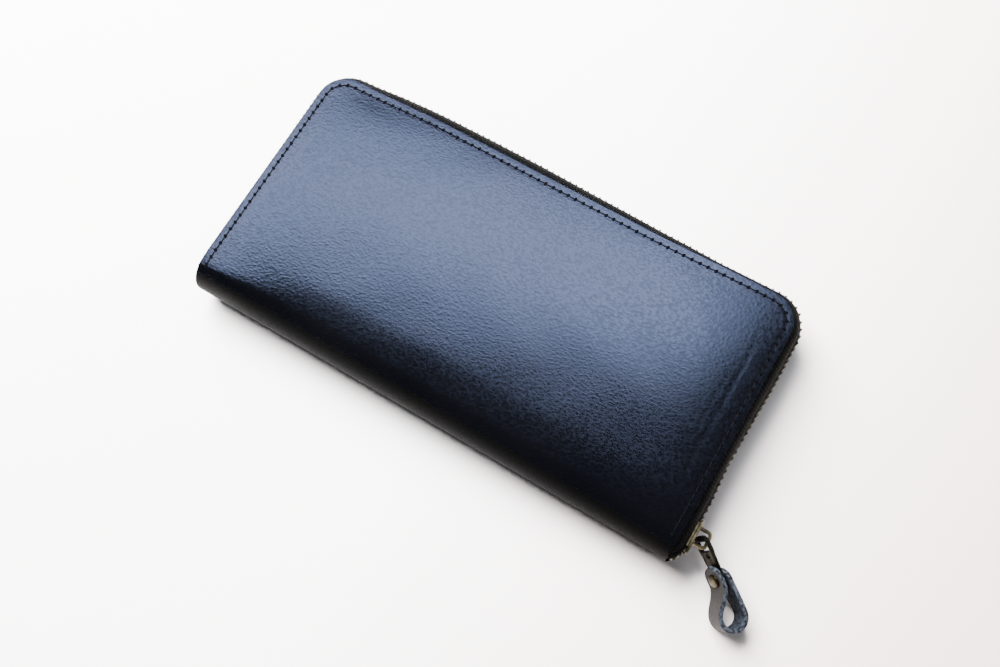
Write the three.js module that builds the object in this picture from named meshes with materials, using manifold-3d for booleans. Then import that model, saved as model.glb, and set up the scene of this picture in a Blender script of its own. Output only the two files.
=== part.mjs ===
// A zip-around long wallet, closed and lying on its back.
// One leather cover folds round a half-round spine and a metal zip closes the three other sides.
// Inside are card pockets on both halves and a zipped coin pocket between them, with room for notes
// on each side.
// Millimetres. X runs along the spine, Y from the spine to the opposite edge, Z up from the surface it lies on.
// The origin is on that surface, under the middle of the cover.

import * as THREE from "three";
import { mergeVertices } from "three/addons/utils/BufferGeometryUtils.js";
import Module from "manifold-3d";

const wasm = await Module();
wasm.setup();

// ---------- driving dimensions ----------

const LENGTH = 192; // leather cover along the spine
const DEPTH = 98; // leather cover from the spine's outermost line to the opposite edge
const THICKNESS = 22; // closed wallet
const CORNER = 10; // corner radius of the cover, in plan
const CLEARANCE = 0.3; // between pieces that lie on each other

const COVER = 1.6; // leather and textile thicknesses
const TAPE = 0.5;
const LINING = 0.5;
const CARD_LEATHER = 0.5;
const GUSSET_LEATHER = 0.25;

const ARC_STEPS = 8; // segments in a quarter turn

// ---------- derived places ----------

const HALF_LENGTH = LENGTH / 2;
const HALF_DEPTH = DEPTH / 2;
const MID = THICKNESS / 2; // height of the zip's centre line
const SPINE_Y = -HALF_DEPTH + MID; // centre line of the half-round spine
const CORNER_X = HALF_LENGTH - CORNER;
const CORNER_Y = HALF_DEPTH - CORNER;

// Distance of each layer from the wallet's outer face, the same on both halves.
const TAPE_AT = COVER + CLEARANCE;
const LINING_AT = TAPE_AT + TAPE + CLEARANCE;
const BASE_AT = LINING_AT + LINING + CLEARANCE;
const POCKETS_AT = BASE_AT + CARD_LEATHER + CLEARANCE;
const POCKET_STEP = CARD_LEATHER + CLEARANCE;
const POCKET_ROWS = 3;
const POCKETS_TOP = POCKETS_AT + POCKET_ROWS * POCKET_STEP; // first free depth past the pockets

const SIDES = ["back", "front"];

// ---------- colours ----------

const finish = (color, roughness, metalness = 0) =>
  new THREE.MeshStandardMaterial({ color, roughness, metalness });

const MATERIAL = {
  cover: finish(0x181a20, 0.42),
  lining: finish(0x24252b, 0.8),
  pocket: finish(0x1c1d22, 0.5),
  thread: finish(0x0c0c0f, 0.6),
  tape: finish(0x111216, 0.9),
  brass: finish(0x8a7a4c, 0.38, 1),
  coil: finish(0x17181b, 0.45),
  pull: finish(0x35312d, 0.55),
};

// ---------- geometry helpers ----------

// An outline in XY, extruded from z = low to z = high.
function plate(outline, low, high) {
  const settings = { depth: high - low, bevelEnabled: false, curveSegments: ARC_STEPS };
  return new THREE.ExtrudeGeometry(outline, settings).translate(0, 0, low);
}

// An outline in YZ, extruded from x = low to x = high.
function slabAlongX(outline, low, high) {
  const toYZ = new THREE.Matrix4().makeBasis(
    new THREE.Vector3(0, 1, 0),
    new THREE.Vector3(0, 0, 1),
    new THREE.Vector3(1, 0, 0),
  );
  return plate(outline, low, high).applyMatrix4(toYZ);
}

// An outline in XZ, extruded from y = low to y = high.
function slabAlongY(outline, low, high) {
  return plate(outline, -high, -low).rotateX(Math.PI / 2);
}

function box(x, y, z) {
  const [sizes, centres] = [x, y, z].reduce(
    ([s, c], [low, high]) => [[...s, high - low], [...c, (low + high) / 2]],
    [[], []],
  );
  return new THREE.BoxGeometry(...sizes).translate(...centres);
}

function solid(geometry) {
  const bare = geometry.clone();
  bare.deleteAttribute("normal");
  bare.deleteAttribute("uv");
  const merged = mergeVertices(bare, 1e-4);
  return new wasm.Manifold(
    new wasm.Mesh({
      numProp: 3,
      vertProperties: merged.attributes.position.array,
      triVerts: new Uint32Array(merged.index.array),
    }),
  );
}

function geometryOf(made) {
  const { vertProperties, triVerts } = made.getMesh();
  return new THREE.BufferGeometry()
    .setAttribute("position", new THREE.BufferAttribute(vertProperties, 3))
    .setIndex(new THREE.BufferAttribute(triVerts, 1));
}

const join = (...pieces) => geometryOf(pieces.map(solid).reduce((a, b) => a.add(b)));
const cut = (piece, ...tools) =>
  geometryOf(tools.map(solid).reduce((a, b) => a.subtract(b), solid(piece)));

function mesh(name, geometry, material) {
  const made = new THREE.Mesh(geometry, material);
  made.name = name;
  return made;
}

function group(...children) {
  const made = new THREE.Group();
  made.add(...children);
  return made;
}

// The heights of a layer that starts `depth` inside the outer face of one half.
function heights(side, depth, thickness) {
  return side === "back"
    ? [depth, depth + thickness]
    : [THICKNESS - depth - thickness, THICKNESS - depth];
}

// ---------- outlines that follow the cover's edge ----------

// A panel whose two corners away from the spine are round.
function panel(halfX, low, high, radius) {
  const outline = new THREE.Shape();
  outline.moveTo(-halfX, low);
  outline.lineTo(halfX, low);
  outline.lineTo(halfX, high - radius);
  outline.absarc(halfX - radius, high - radius, radius, 0, Math.PI / 2);
  outline.absarc(-halfX + radius, high - radius, radius, Math.PI / 2, Math.PI);
  outline.closePath();
  return outline;
}

// A band round the three zipped sides, between two distances outside the cover's edge, down to y = end.
function edgeBand(inner, outer, end) {
  const outline = new THREE.Shape();
  outline.moveTo(HALF_LENGTH + outer, end);
  outline.lineTo(HALF_LENGTH + outer, CORNER_Y);
  outline.absarc(CORNER_X, CORNER_Y, CORNER + outer, 0, Math.PI / 2);
  outline.absarc(-CORNER_X, CORNER_Y, CORNER + outer, Math.PI / 2, Math.PI);
  outline.lineTo(-HALF_LENGTH - outer, end);
  outline.lineTo(-HALF_LENGTH - inner, end);
  outline.absarc(-CORNER_X, CORNER_Y, CORNER + inner, Math.PI, Math.PI / 2, true);
  outline.absarc(CORNER_X, CORNER_Y, CORNER + inner, Math.PI / 2, 0, true);
  outline.lineTo(HALF_LENGTH + inner, end);
  outline.closePath();
  return outline;
}

// ---------- cover, spine and seam ----------

const LIP_TURN = THREE.MathUtils.degToRad(46); // how far each half's cover runs round the spine
const SPINE_TURN = THREE.MathUtils.degToRad(38); // the spine strip's reach each way from its middle
const SEAM_INSET = 3.2; // stitch line to cover edge
const SEAM_GROOVE = { half: 0.5, depth: 0.6 };
const THREAD = { half: 0.2, thickness: 0.3 };

// Part of a tube round the spine's centre line, between two angles in the YZ plane.
function spineSector(outer, inner, from, to, halfX) {
  const outline = new THREE.Shape();
  outline.absarc(SPINE_Y, MID, outer, from, to);
  outline.absarc(SPINE_Y, MID, inner, to, from, true);
  outline.closePath();
  return slabAlongX(outline, -halfX, halfX);
}

function cover(side) {
  const flat = plate(panel(HALF_LENGTH, SPINE_Y, HALF_DEPTH, CORNER), ...heights(side, 0, COVER));
  const up = Math.PI / 2;
  const down = 3 * up;
  const [from, to] = side === "front" ? [up, up + LIP_TURN] : [down - LIP_TURN, down];
  const lip = spineSector(MID, MID - COVER, from, to, HALF_LENGTH);
  const groove = edgeBand(-SEAM_INSET - SEAM_GROOVE.half, -SEAM_INSET + SEAM_GROOVE.half, SPINE_Y + 1);
  const grooveHeights = heights(side, -1, SEAM_GROOVE.depth + 1);
  return mesh(`${side}_cover`, cut(join(flat, lip), plate(groove, ...grooveHeights)), MATERIAL.cover);
}

function seamThread(side) {
  const line = edgeBand(-SEAM_INSET - THREAD.half, -SEAM_INSET + THREAD.half, SPINE_Y + 1.5);
  return mesh(`${side}_seam_thread`, plate(line, ...heights(side, 0, THREAD.thickness)), MATERIAL.thread);
}

function spineStrip(name, outer, thickness, halfX, material) {
  const made = spineSector(outer, outer - thickness, Math.PI - SPINE_TURN, Math.PI + SPINE_TURN, halfX);
  return mesh(name, made, material);
}

// ---------- main zip ----------

// Distances outside the cover's edge.
const ZIP = {
  flangeFrom: -9, // the sewn part of the tape, under the cover
  tapeFrom: 2.8, // the part that turns towards the middle
  toothFrom: 2.3,
  rootTo: 3.3,
  toothTo: 4.3,
  half: 2.6, // half the chain's width, across the two rows
  slit: 0.6, // half the slit between the rows, where the heads would engage
  pitch: 2.5,
  toothWidth: 1.25,
  end: -44, // where tape and teeth end, past the start of the spine
};
const TAPE_LINE = ZIP.tapeFrom + TAPE / 2; // the pitch is measured along this line

function zipTape(side) {
  const flangeBand = edgeBand(ZIP.flangeFrom, ZIP.tapeFrom + TAPE, SPINE_Y);
  const flange = plate(flangeBand, ...heights(side, TAPE_AT, TAPE));
  const reach = MID - ZIP.half - CLEARANCE - TAPE_AT;
  const wall = plate(edgeBand(ZIP.tapeFrom, ZIP.tapeFrom + TAPE, ZIP.end), ...heights(side, TAPE_AT, reach));
  return mesh(`${side}_zip_tape`, join(flange, wall), MATERIAL.tape);
}

const STRAIGHT = CORNER_Y - ZIP.end;
const TURN = (Math.PI / 2) * (CORNER + TAPE_LINE);
const ACROSS = 2 * CORNER_X;
const ZIP_LENGTH = 2 * STRAIGHT + 2 * TURN + ACROSS;

// The point at `along` from the zip's right end, `outside` of the cover's edge.
function onZip(along, outside) {
  const fromCorner = (sign, angle) => {
    const reach = CORNER + outside;
    return new THREE.Vector2(sign * CORNER_X + reach * Math.cos(angle), CORNER_Y + reach * Math.sin(angle));
  };
  if (along < STRAIGHT) return new THREE.Vector2(HALF_LENGTH + outside, ZIP.end + along);
  const first = (along - STRAIGHT) / TURN;
  if (first < 1) return fromCorner(1, (first * Math.PI) / 2);
  const across = along - STRAIGHT - TURN;
  if (across < ACROSS) return new THREE.Vector2(CORNER_X - across, HALF_DEPTH + outside);
  const second = (across - ACROSS) / TURN;
  if (second < 1) return fromCorner(-1, ((1 + second) * Math.PI) / 2);
  return new THREE.Vector2(-HALF_LENGTH - outside, ZIP.end + ZIP_LENGTH - along);
}

// One row of teeth on its bead, from `start` along the zip to its far end.
function zipTeeth(side, start) {
  const [low, high] = heights(side, MID - ZIP.half, ZIP.half - ZIP.slit);
  const count = Math.floor((ZIP_LENGTH - start) / ZIP.pitch);
  const positions = [];
  const quad = (...corners) => positions.push(...[0, 1, 2, 0, 2, 3].flatMap((i) => corners[i]));

  // A block between two places along the zip and two distances outside the cover, with walls on its free sides.
  const block = (from, to, near, far, free) => {
    const [bottom, top] = [low, high].map((z) =>
      [[from, near], [from, far], [to, far], [to, near]].map(([along, outside]) => [
        ...onZip(along, outside).toArray(),
        z,
      ]),
    );
    quad(...top);
    quad(...bottom.toReversed());
    const walls = { start: [0, 1], far: [1, 2], end: [2, 3], near: [3, 0] };
    for (const side of free) {
      const [a, b] = walls[side];
      quad(bottom[a], bottom[b], top[b], top[a]);
    }
  };

  for (let i = 0; i < count; i++) {
    const from = start + i * ZIP.pitch;
    const gap = from + ZIP.toothWidth;
    block(from, gap, ZIP.toothFrom, ZIP.rootTo, i ? ["near"] : ["near", "start"]);
    block(from, gap, ZIP.rootTo, ZIP.toothTo, ["start", "far", "end"]);
    const last = i === count - 1;
    block(gap, from + ZIP.pitch, ZIP.toothFrom, ZIP.rootTo, last ? ["near", "far", "end"] : ["near", "far"]);
  }
  const row = new THREE.BufferGeometry();
  row.setAttribute("position", new THREE.Float32BufferAttribute(positions, 3));
  return mesh(`${side}_zip_teeth`, mergeVertices(row, 1e-4), MATERIAL.brass);
}

// ---------- sliders and pulls ----------

// A slider in its own frame: X away from the chain's outer face, Y towards the closed chain, Z across it.
// Its two shells hold the chain between them, joined by a post at the mouth, with the bail on the outer one.
function slider(name, spec) {
  const leaf = ({ mouth, tail }) => {
    const end = spec.length / 2;
    const shoulder = -end / 3;
    const outline = new THREE.Shape();
    outline.moveTo(-end, -mouth * 0.7);
    outline.quadraticCurveTo(-end, -mouth, -end * 0.7, -mouth);
    outline.lineTo(shoulder, -mouth);
    outline.lineTo(end * 0.8, -tail);
    outline.quadraticCurveTo(end, -tail, end, -tail * 0.6);
    outline.lineTo(end, tail * 0.6);
    outline.quadraticCurveTo(end, tail, end * 0.8, tail);
    outline.lineTo(shoulder, mouth);
    outline.lineTo(-end * 0.7, mouth);
    outline.quadraticCurveTo(-end, mouth, -end, mouth * 0.7);
    outline.closePath();
    return outline;
  };
  const { outer, inner, channel, post, bail } = spec;
  const tunnel = box([channel.from, channel.to], [-spec.length, spec.length], [-channel.half, channel.front]);
  const outerShell = cut(slabAlongX(leaf(outer), outer.from, outer.to), tunnel);
  const innerShell = cut(slabAlongX(leaf(inner), inner.from, inner.to), tunnel);
  const postEnd = -spec.length / 2 + 0.3;
  const bite = 0.1;
  const pillar = box(
    [channel.from - bite, channel.to + bite],
    [postEnd, postEnd + post.length],
    [-post.half, post.half],
  );
  return mesh(name, join(outerShell, innerShell, pillar, bailOf(bail, outer.to - bite)), MATERIAL.brass);
}

// A half ring on two legs, concentric with the pull's pivot.
function bailOf({ pivotX, pivotY, inner, outer, half }, foot) {
  const outline = new THREE.Shape();
  outline.moveTo(foot, pivotY - outer);
  outline.lineTo(pivotX, pivotY - outer);
  outline.absarc(pivotX, pivotY, outer, -Math.PI / 2, Math.PI / 2);
  outline.lineTo(foot, pivotY + outer);
  outline.lineTo(foot, pivotY + inner);
  outline.absarc(pivotX, pivotY, inner, Math.PI / 2, -Math.PI / 2, true);
  outline.lineTo(foot, pivotY - inner);
  outline.closePath();
  return plate(outline, -half, half);
}

function rectangle(hole, from, to, half) {
  hole.moveTo(from, -half);
  hole.lineTo(to, -half);
  hole.lineTo(to, half);
  hole.lineTo(from, half);
  hole.closePath();
  return hole;
}

// A flat metal pull in its own frame: X away from its pivot, Y through its thickness, Z across.
function pullBar(name, { rod, end, half, tip, thickness, eye, holes }) {
  const bevel = 1.6;
  const outline = new THREE.Shape();
  outline.moveTo(-rod, bevel - half);
  outline.quadraticCurveTo(-rod, -half, bevel - rod, -half);
  outline.lineTo(end - tip, -half);
  outline.quadraticCurveTo(end, -half, end, 0);
  outline.quadraticCurveTo(end, half, end - tip, half);
  outline.lineTo(bevel - rod, half);
  outline.quadraticCurveTo(-rod, half, -rod, half - bevel);
  outline.closePath();
  outline.holes.push(rectangle(new THREE.Path(), rod, eye.end, eye.half));
  for (const { at, radius } of holes) {
    outline.holes.push(new THREE.Path().absarc(at, 0, radius, 0, 2 * Math.PI, true));
  }
  return mesh(name, slabAlongY(outline, -thickness / 2, thickness / 2), MATERIAL.brass);
}

const SLIDER = {
  length: 13,
  outer: { from: 3.6, to: 5.2, mouth: 4.5, tail: 3.9 },
  inner: { from: 0.5, to: 2.5, mouth: 4.5, tail: 3.9 },
  channel: { from: 1.5, to: 4.6, half: 3.2, front: 10 }, // open to the front, whose chain swings out of it
  post: { half: 0.4, length: 3 },
  bail: { pivotX: 7, pivotY: 0.9, inner: 1.9, outer: 3, half: 1 },
};
const SLIDER_Y = -38; // middle of the slider with the zip closed
// The front row starts where it swings clear of the slider as the front lifts.
const FRONT_TEETH_START = SLIDER_Y + SLIDER.length / 2 + 1.1 - ZIP.end;

const RIVET = { at: 14, post: 0.9, cap: 2.3, hole: 1.2 };
const PULL = {
  rod: 0.7,
  end: 18.5,
  half: 3.2,
  tip: 3,
  thickness: 1.4,
  eye: { end: 4.1, half: 2.3 },
  holes: [{ at: 7, radius: 1 }, { at: RIVET.at, radius: RIVET.hole }],
};
const PULL_YAW = THREE.MathUtils.degToRad(-35); // from straight out towards the spine
const PULL_PITCH = THREE.MathUtils.degToRad(13); // down, until the loop meets the surface below
const PULL_ROLL = THREE.MathUtils.degToRad(-20); // about its length, so that the leg nearer the spine faces up

const LOOP = {
  from: 9.5, // where the strap's two ends begin, along the pull
  thickness: 1.6,
  half: 4.2, // half the strap's width
  legTo: 15.5,
  bowlAt: 25.6, // the bowl's centre, along the pull and to one side
  bowlY: -2.6,
  bowl: 5.4,
};

// A strap folded back on itself: two legs that hold the metal pull between them, and an open teardrop bowl.
function pullLoop() {
  const { from, half, legTo, bowlAt, bowlY, bowl } = LOOP;
  const inside = PULL.thickness / 2 + CLEARANCE;
  const outside = inside + LOOP.thickness;
  const hollow = bowl - LOOP.thickness;
  const swell = legTo + 3.6; // the curves leave the legs and meet the bowl along its length
  const meet = bowlAt - 4.2;
  const quarter = Math.PI / 2;
  const outline = new THREE.Shape();
  outline.moveTo(from, -outside);
  outline.lineTo(legTo, -outside);
  outline.bezierCurveTo(swell, -outside, meet, bowlY - bowl, bowlAt, bowlY - bowl);
  outline.absarc(bowlAt, bowlY, bowl, -quarter, quarter);
  outline.bezierCurveTo(meet, bowlY + bowl, swell, outside, legTo, outside);
  outline.lineTo(from, outside);
  outline.lineTo(from, inside);
  outline.lineTo(legTo, inside);
  outline.bezierCurveTo(swell, inside, meet, bowlY + hollow, bowlAt, bowlY + hollow);
  outline.absarc(bowlAt, bowlY, hollow, quarter, -quarter, true);
  outline.bezierCurveTo(meet, bowlY - hollow, swell, -inside, legTo, -inside);
  outline.lineTo(from, -inside);
  outline.closePath();
  const drill = new THREE.CylinderGeometry(RIVET.hole, RIVET.hole, 4 * outside, 2 * ARC_STEPS);
  const strap = cut(plate(outline, -half, half), drill.translate(RIVET.at, 0, 0));
  return mesh("pull_loop", strap, MATERIAL.pull);
}

function pullRivet() {
  const seat = PULL.thickness / 2 + 2 * CLEARANCE + LOOP.thickness;
  const half = [[RIVET.post, seat], [RIVET.cap, seat], [RIVET.cap, seat + 0.3], [RIVET.cap * 0.75, seat + 0.7]];
  const profile = [
    [0, -seat - 0.8],
    ...half.map(([r, y]) => [r, -y]).reverse(),
    ...half,
    [0, seat + 0.8],
  ].map(([r, y]) => new THREE.Vector2(r, y));
  const made = mesh("pull_rivet", new THREE.LatheGeometry(profile, 2 * ARC_STEPS), MATERIAL.brass);
  made.position.x = RIVET.at;
  return made;
}

function mainSlider() {
  const pull = group(pullBar("pull_bar", PULL), pullLoop(), pullRivet());
  pull.position.set(SLIDER.bail.pivotX, SLIDER.bail.pivotY, 0);
  pull.rotation.set(PULL_ROLL, PULL_PITCH, PULL_YAW, "ZYX");
  const made = group(slider("zip_slider", SLIDER), pull);
  made.position.set(HALF_LENGTH, SLIDER_Y, MID);
  return made;
}

// ---------- linings and card pockets ----------

const LINING_INSET = 2;
const CARD_BASE = { halfX: 90, low: -37, high: 43, radius: 6 };
const CARD_POCKET = { halfX: 88, top: 34, step: 11, height: 48, radius: 2 };

function lining(side) {
  const outline = panel(HALF_LENGTH - LINING_INSET, SPINE_Y, HALF_DEPTH - LINING_INSET, CORNER - LINING_INSET);
  return mesh(`${side}_lining`, plate(outline, ...heights(side, LINING_AT, LINING)), MATERIAL.lining);
}

function cardBase(side) {
  const { halfX, low, high, radius } = CARD_BASE;
  const made = plate(panel(halfX, low, high, radius), ...heights(side, BASE_AT, CARD_LEATHER));
  return mesh(`${side}_card_panel`, made, MATERIAL.pocket);
}

// Overlapping pocket strips, each stepped down towards the spine by one row.
function cardPockets(side) {
  return Array.from({ length: POCKET_ROWS }, (_, row) => {
    const { halfX, top, step, height, radius } = CARD_POCKET;
    const high = top - row * step;
    const depth = POCKETS_AT + row * POCKET_STEP;
    const made = plate(panel(halfX, high - height, high, radius), ...heights(side, depth, CARD_LEATHER));
    return mesh(`${side}_card_pocket_${row + 1}`, made, MATERIAL.pocket);
  });
}

// ---------- coin pocket and gussets ----------

// Distances across are from the middle height; distances up are from the top edge of the pocket's walls.
const COIN = {
  halfX: 88,
  low: -37,
  top: 27,
  wallFrom: 2.8,
  wall: 0.5,
  tapeFrom: 2.1,
  tape: 0.4,
  tapeLow: -8,
  zipHalfX: 72,
  coil: { from: 1.9, to: 3.6, inner: 0.4, outer: 1.8 },
};
const COIN_SLIDER = {
  length: 9,
  outer: { from: 2, to: 4.9, mouth: 3.4, tail: 3.3 },
  inner: { from: 0.9, to: 1.6, mouth: 1.8, tail: 1.6 },
  channel: { from: 1.6, to: 4.2, half: 2.8, front: 2.8 },
  post: { half: 0.2, length: 2 },
  bail: { pivotX: 6.4, pivotY: -0.5, inner: 1.5, outer: 2.4, half: 0.7 },
};
const COIN_SLIDER_X = 66;
const COIN_PULL = {
  rod: 0.5,
  end: 12,
  half: 2.2,
  tip: 2,
  thickness: 1,
  eye: { end: 2.8, half: 1 },
  holes: [{ at: 9.2, radius: 0.9 }],
};
const STOP = { from: -71.5, length: 2.2, rise: 0.3 };
const GUSSET = { fold: 76, edge: 88.6, low: -36, high: 18 };

// The heights of something between two distances from the middle, on one half's side of it.
function acrossMiddle(side, from, to) {
  return side === "back" ? [MID - to, MID - from] : [MID + from, MID + to];
}

function coinWall(side) {
  const { halfX, low, top, wallFrom, wall } = COIN;
  const made = plate(panel(halfX, low, top, 2), ...acrossMiddle(side, wallFrom, wallFrom + wall));
  return mesh(`coin_pocket_${side}_wall`, made, MATERIAL.pocket);
}

function coinTape(side) {
  const { zipHalfX, top, tapeLow, tapeFrom, tape, coil } = COIN;
  const made = box(
    [-zipHalfX - 6, zipHalfX + 6],
    [top + tapeLow, top + coil.to],
    acrossMiddle(side, tapeFrom, tapeFrom + tape),
  );
  return mesh(`coin_zip_${side}_tape`, made, MATERIAL.tape);
}

function coinCoil(side) {
  const { zipHalfX, top, coil } = COIN;
  const start = STOP.from + STOP.length + CLEARANCE;
  const across = acrossMiddle(side, coil.inner, coil.outer);
  const made = box([start, zipHalfX], [top + coil.from, top + coil.to], across);
  return mesh(`coin_zip_${side}_coil`, made, MATERIAL.coil);
}

function coinStop() {
  const { top, coil } = COIN;
  const made = box(
    [STOP.from, STOP.from + STOP.length],
    [top + coil.from - STOP.rise, top + coil.to + STOP.rise],
    [MID - coil.outer, MID + coil.outer],
  );
  return mesh("coin_zip_stop", made, MATERIAL.brass);
}

function coinSlider() {
  const pull = group(pullBar("coin_pull", COIN_PULL));
  pull.position.set(COIN_SLIDER.bail.pivotX, COIN_SLIDER.bail.pivotY, 0);
  pull.rotation.z = -Math.PI / 2; // lying along the zip
  const made = group(slider("coin_slider", COIN_SLIDER), pull);
  made.position.set(COIN_SLIDER_X, COIN.top, MID);
  made.rotation.z = Math.PI / 2; // outer face towards the wallet's opening edge
  return made;
}

// A strip folded once, its fold towards the middle of the wallet, between a card panel and the coin pocket.
function gusset(end, side) {
  const sign = end === "left" ? -1 : 1;
  const at = (depth) => heights(side, depth, 0)[0];
  const first = POCKETS_TOP;
  const second = first + GUSSET_LEATHER + 0.25;
  const edge = sign * GUSSET.edge;
  const fold = sign * GUSSET.fold;
  const inside = fold + sign * 0.4;
  const corners = [
    [edge, at(first)],
    [fold, at(first)],
    [fold, at(second + GUSSET_LEATHER)],
    [edge, at(second + GUSSET_LEATHER)],
    [edge, at(second)],
    [inside, at(second)],
    [inside, at(first + GUSSET_LEATHER)],
    [edge, at(first + GUSSET_LEATHER)],
  ].map(([x, z]) => new THREE.Vector2(x, z));
  const made = slabAlongY(new THREE.Shape(corners), GUSSET.low, GUSSET.high);
  return mesh(`${end}_gusset_${side}`, made, MATERIAL.pocket);
}

// ---------- assembly ----------

function half(side) {
  const teethStart = side === "front" ? FRONT_TEETH_START : 0;
  return group(
    cover(side),
    seamThread(side),
    lining(side),
    zipTape(side),
    zipTeeth(side, teethStart),
    cardBase(side),
    ...cardPockets(side),
  );
}

const spine = group(
  spineStrip("spine_cover", MID, COVER, HALF_LENGTH, MATERIAL.cover),
  spineStrip("spine_lining", MID - COVER - CLEARANCE, LINING, HALF_LENGTH - LINING_INSET, MATERIAL.lining),
);

const coinPocket = group(
  ...SIDES.flatMap((side) => [coinWall(side), coinTape(side), coinCoil(side)]),
  ...SIDES.flatMap((side) => [gusset("left", side), gusset("right", side)]),
  coinStop(),
  coinSlider(),
);

const wallet = group(...SIDES.map(half), spine, coinPocket, mainSlider());

export default wallet;
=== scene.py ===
"""A closed zip-around long wallet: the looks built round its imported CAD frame.

Shapes are worked out in millimetres in the CAD frame and scaled to metres as each piece is made. X runs
along the spine, Y from the spine to the opposite edge, Z up. Most of it is made once for the front half and
mirrored in height for the back half.
"""

from math import atan2, cos, exp, hypot, pi, radians, sin, sqrt, tan

import bmesh
import bpy
import numpy as np
from mathutils import Euler, Matrix, Vector


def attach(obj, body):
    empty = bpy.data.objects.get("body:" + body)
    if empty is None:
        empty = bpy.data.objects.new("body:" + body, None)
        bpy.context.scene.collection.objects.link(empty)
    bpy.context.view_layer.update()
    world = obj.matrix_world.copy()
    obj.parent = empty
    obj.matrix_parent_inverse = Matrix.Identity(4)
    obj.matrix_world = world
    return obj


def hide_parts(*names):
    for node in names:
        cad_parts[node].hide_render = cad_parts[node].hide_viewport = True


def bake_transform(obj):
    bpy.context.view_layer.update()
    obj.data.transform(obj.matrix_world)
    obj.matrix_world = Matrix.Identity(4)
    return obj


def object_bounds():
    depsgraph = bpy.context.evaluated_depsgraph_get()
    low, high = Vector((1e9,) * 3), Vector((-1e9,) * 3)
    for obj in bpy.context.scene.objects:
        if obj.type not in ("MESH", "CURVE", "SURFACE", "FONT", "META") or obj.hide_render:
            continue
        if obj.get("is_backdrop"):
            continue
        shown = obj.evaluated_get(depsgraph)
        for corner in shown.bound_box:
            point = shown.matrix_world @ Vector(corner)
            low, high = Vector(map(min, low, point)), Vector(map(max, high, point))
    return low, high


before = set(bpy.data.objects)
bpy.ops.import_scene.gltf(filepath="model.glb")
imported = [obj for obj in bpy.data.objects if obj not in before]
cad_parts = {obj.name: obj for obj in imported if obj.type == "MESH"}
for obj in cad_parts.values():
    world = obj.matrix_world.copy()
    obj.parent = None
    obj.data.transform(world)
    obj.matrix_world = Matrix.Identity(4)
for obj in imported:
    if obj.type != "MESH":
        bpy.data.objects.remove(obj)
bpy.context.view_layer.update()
MM = 0.001
SHARP = radians(40)  # edges that bend more than this are shaded as sharp

# ---------------------------------------------------------------- sizes, in millimetres

HALF_X, HALF_Y, MID = 96.0, 49.0, 11.0  # the hide's half length and half depth, and the height of the zip
CORNER = 10.0
HIDE = 1.6
EDGE_DROP = 1.5  # how much lower the zipped edges lie than the middle of the panel
SEAM_INSET, STITCH, SEAM_THREAD = 2.6, 3.1, 0.22  # the seam's distance from the edge, its step, its radius
CHAIN, TOOTH_PITCH = 3.3, 2.5  # how far outside the hide the zip chain runs, and the step of its teeth
SLIDER_Y = -38.0  # where the zip's slider rests
PIVOT = Vector((103.0, -37.1, 11.0))  # where the pull hangs on the bail
YAW, PITCH = radians(-35), radians(13)
ROLL, LOOP_ROLL = radians(26), radians(13)  # the metal and the strap's ends lean more than the bowl
HEAD_UPRIGHT = radians(6)  # how much less the bar leans at its head

# ---------------------------------------------------------------- materials


def links(tree, *pairs):
    for a, b in pairs:
        tree.links.new(a, b)


def node(tree, kind, inputs=None, **props):
    made = tree.nodes.new(kind)
    for key, value in props.items():
        setattr(made, key, value)
    for key, value in (inputs or {}).items():
        if isinstance(value, bpy.types.NodeSocket):
            tree.links.new(value, made.inputs[key])
        else:
            made.inputs[key].default_value = value
    return made


def surface(name, **sockets):
    """A material, its tree, its Principled shader and object coordinates."""
    made = bpy.data.materials.new(name)
    made.use_nodes = True
    tree = made.node_tree
    shader = tree.nodes["Principled BSDF"]
    for key, value in sockets.items():
        shader.inputs[key.replace("_", " ")].default_value = value
    return made, tree, shader, node(tree, "ShaderNodeTexCoord").outputs["Object"]


def noise(tree, at, scale, detail=3.0, rough=0.55):
    inputs = {"Vector": at, "Scale": scale, "Detail": detail, "Roughness": rough}
    return node(tree, "ShaderNodeTexNoise", inputs).outputs["Fac"]


def ramp(tree, factor, *stops):
    made = node(tree, "ShaderNodeValToRGB", {"Fac": factor})
    points = made.color_ramp.elements
    while len(points) < len(stops):
        points.new(0.5)
    for point, (place, value) in zip(points, stops):
        point.position = place
        point.color = (*value, 1) if isinstance(value, tuple) else (value, value, value, 1)
    return made.outputs["Color"]


def bump(tree, height, distance, strength):
    inputs = {"Height": height, "Distance": distance, "Strength": strength}
    return node(tree, "ShaderNodeBump", inputs).outputs["Normal"]


def maths(tree, operation, a, b):
    return node(tree, "ShaderNodeMath", {0: a, 1: b}, operation=operation).outputs[0]


def weighted(tree, first, second):
    """The sum of two (value, weight) pairs, each value times its weight."""
    return maths(tree, "ADD", maths(tree, "MULTIPLY", *first), maths(tree, "MULTIPLY", *second))


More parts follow.
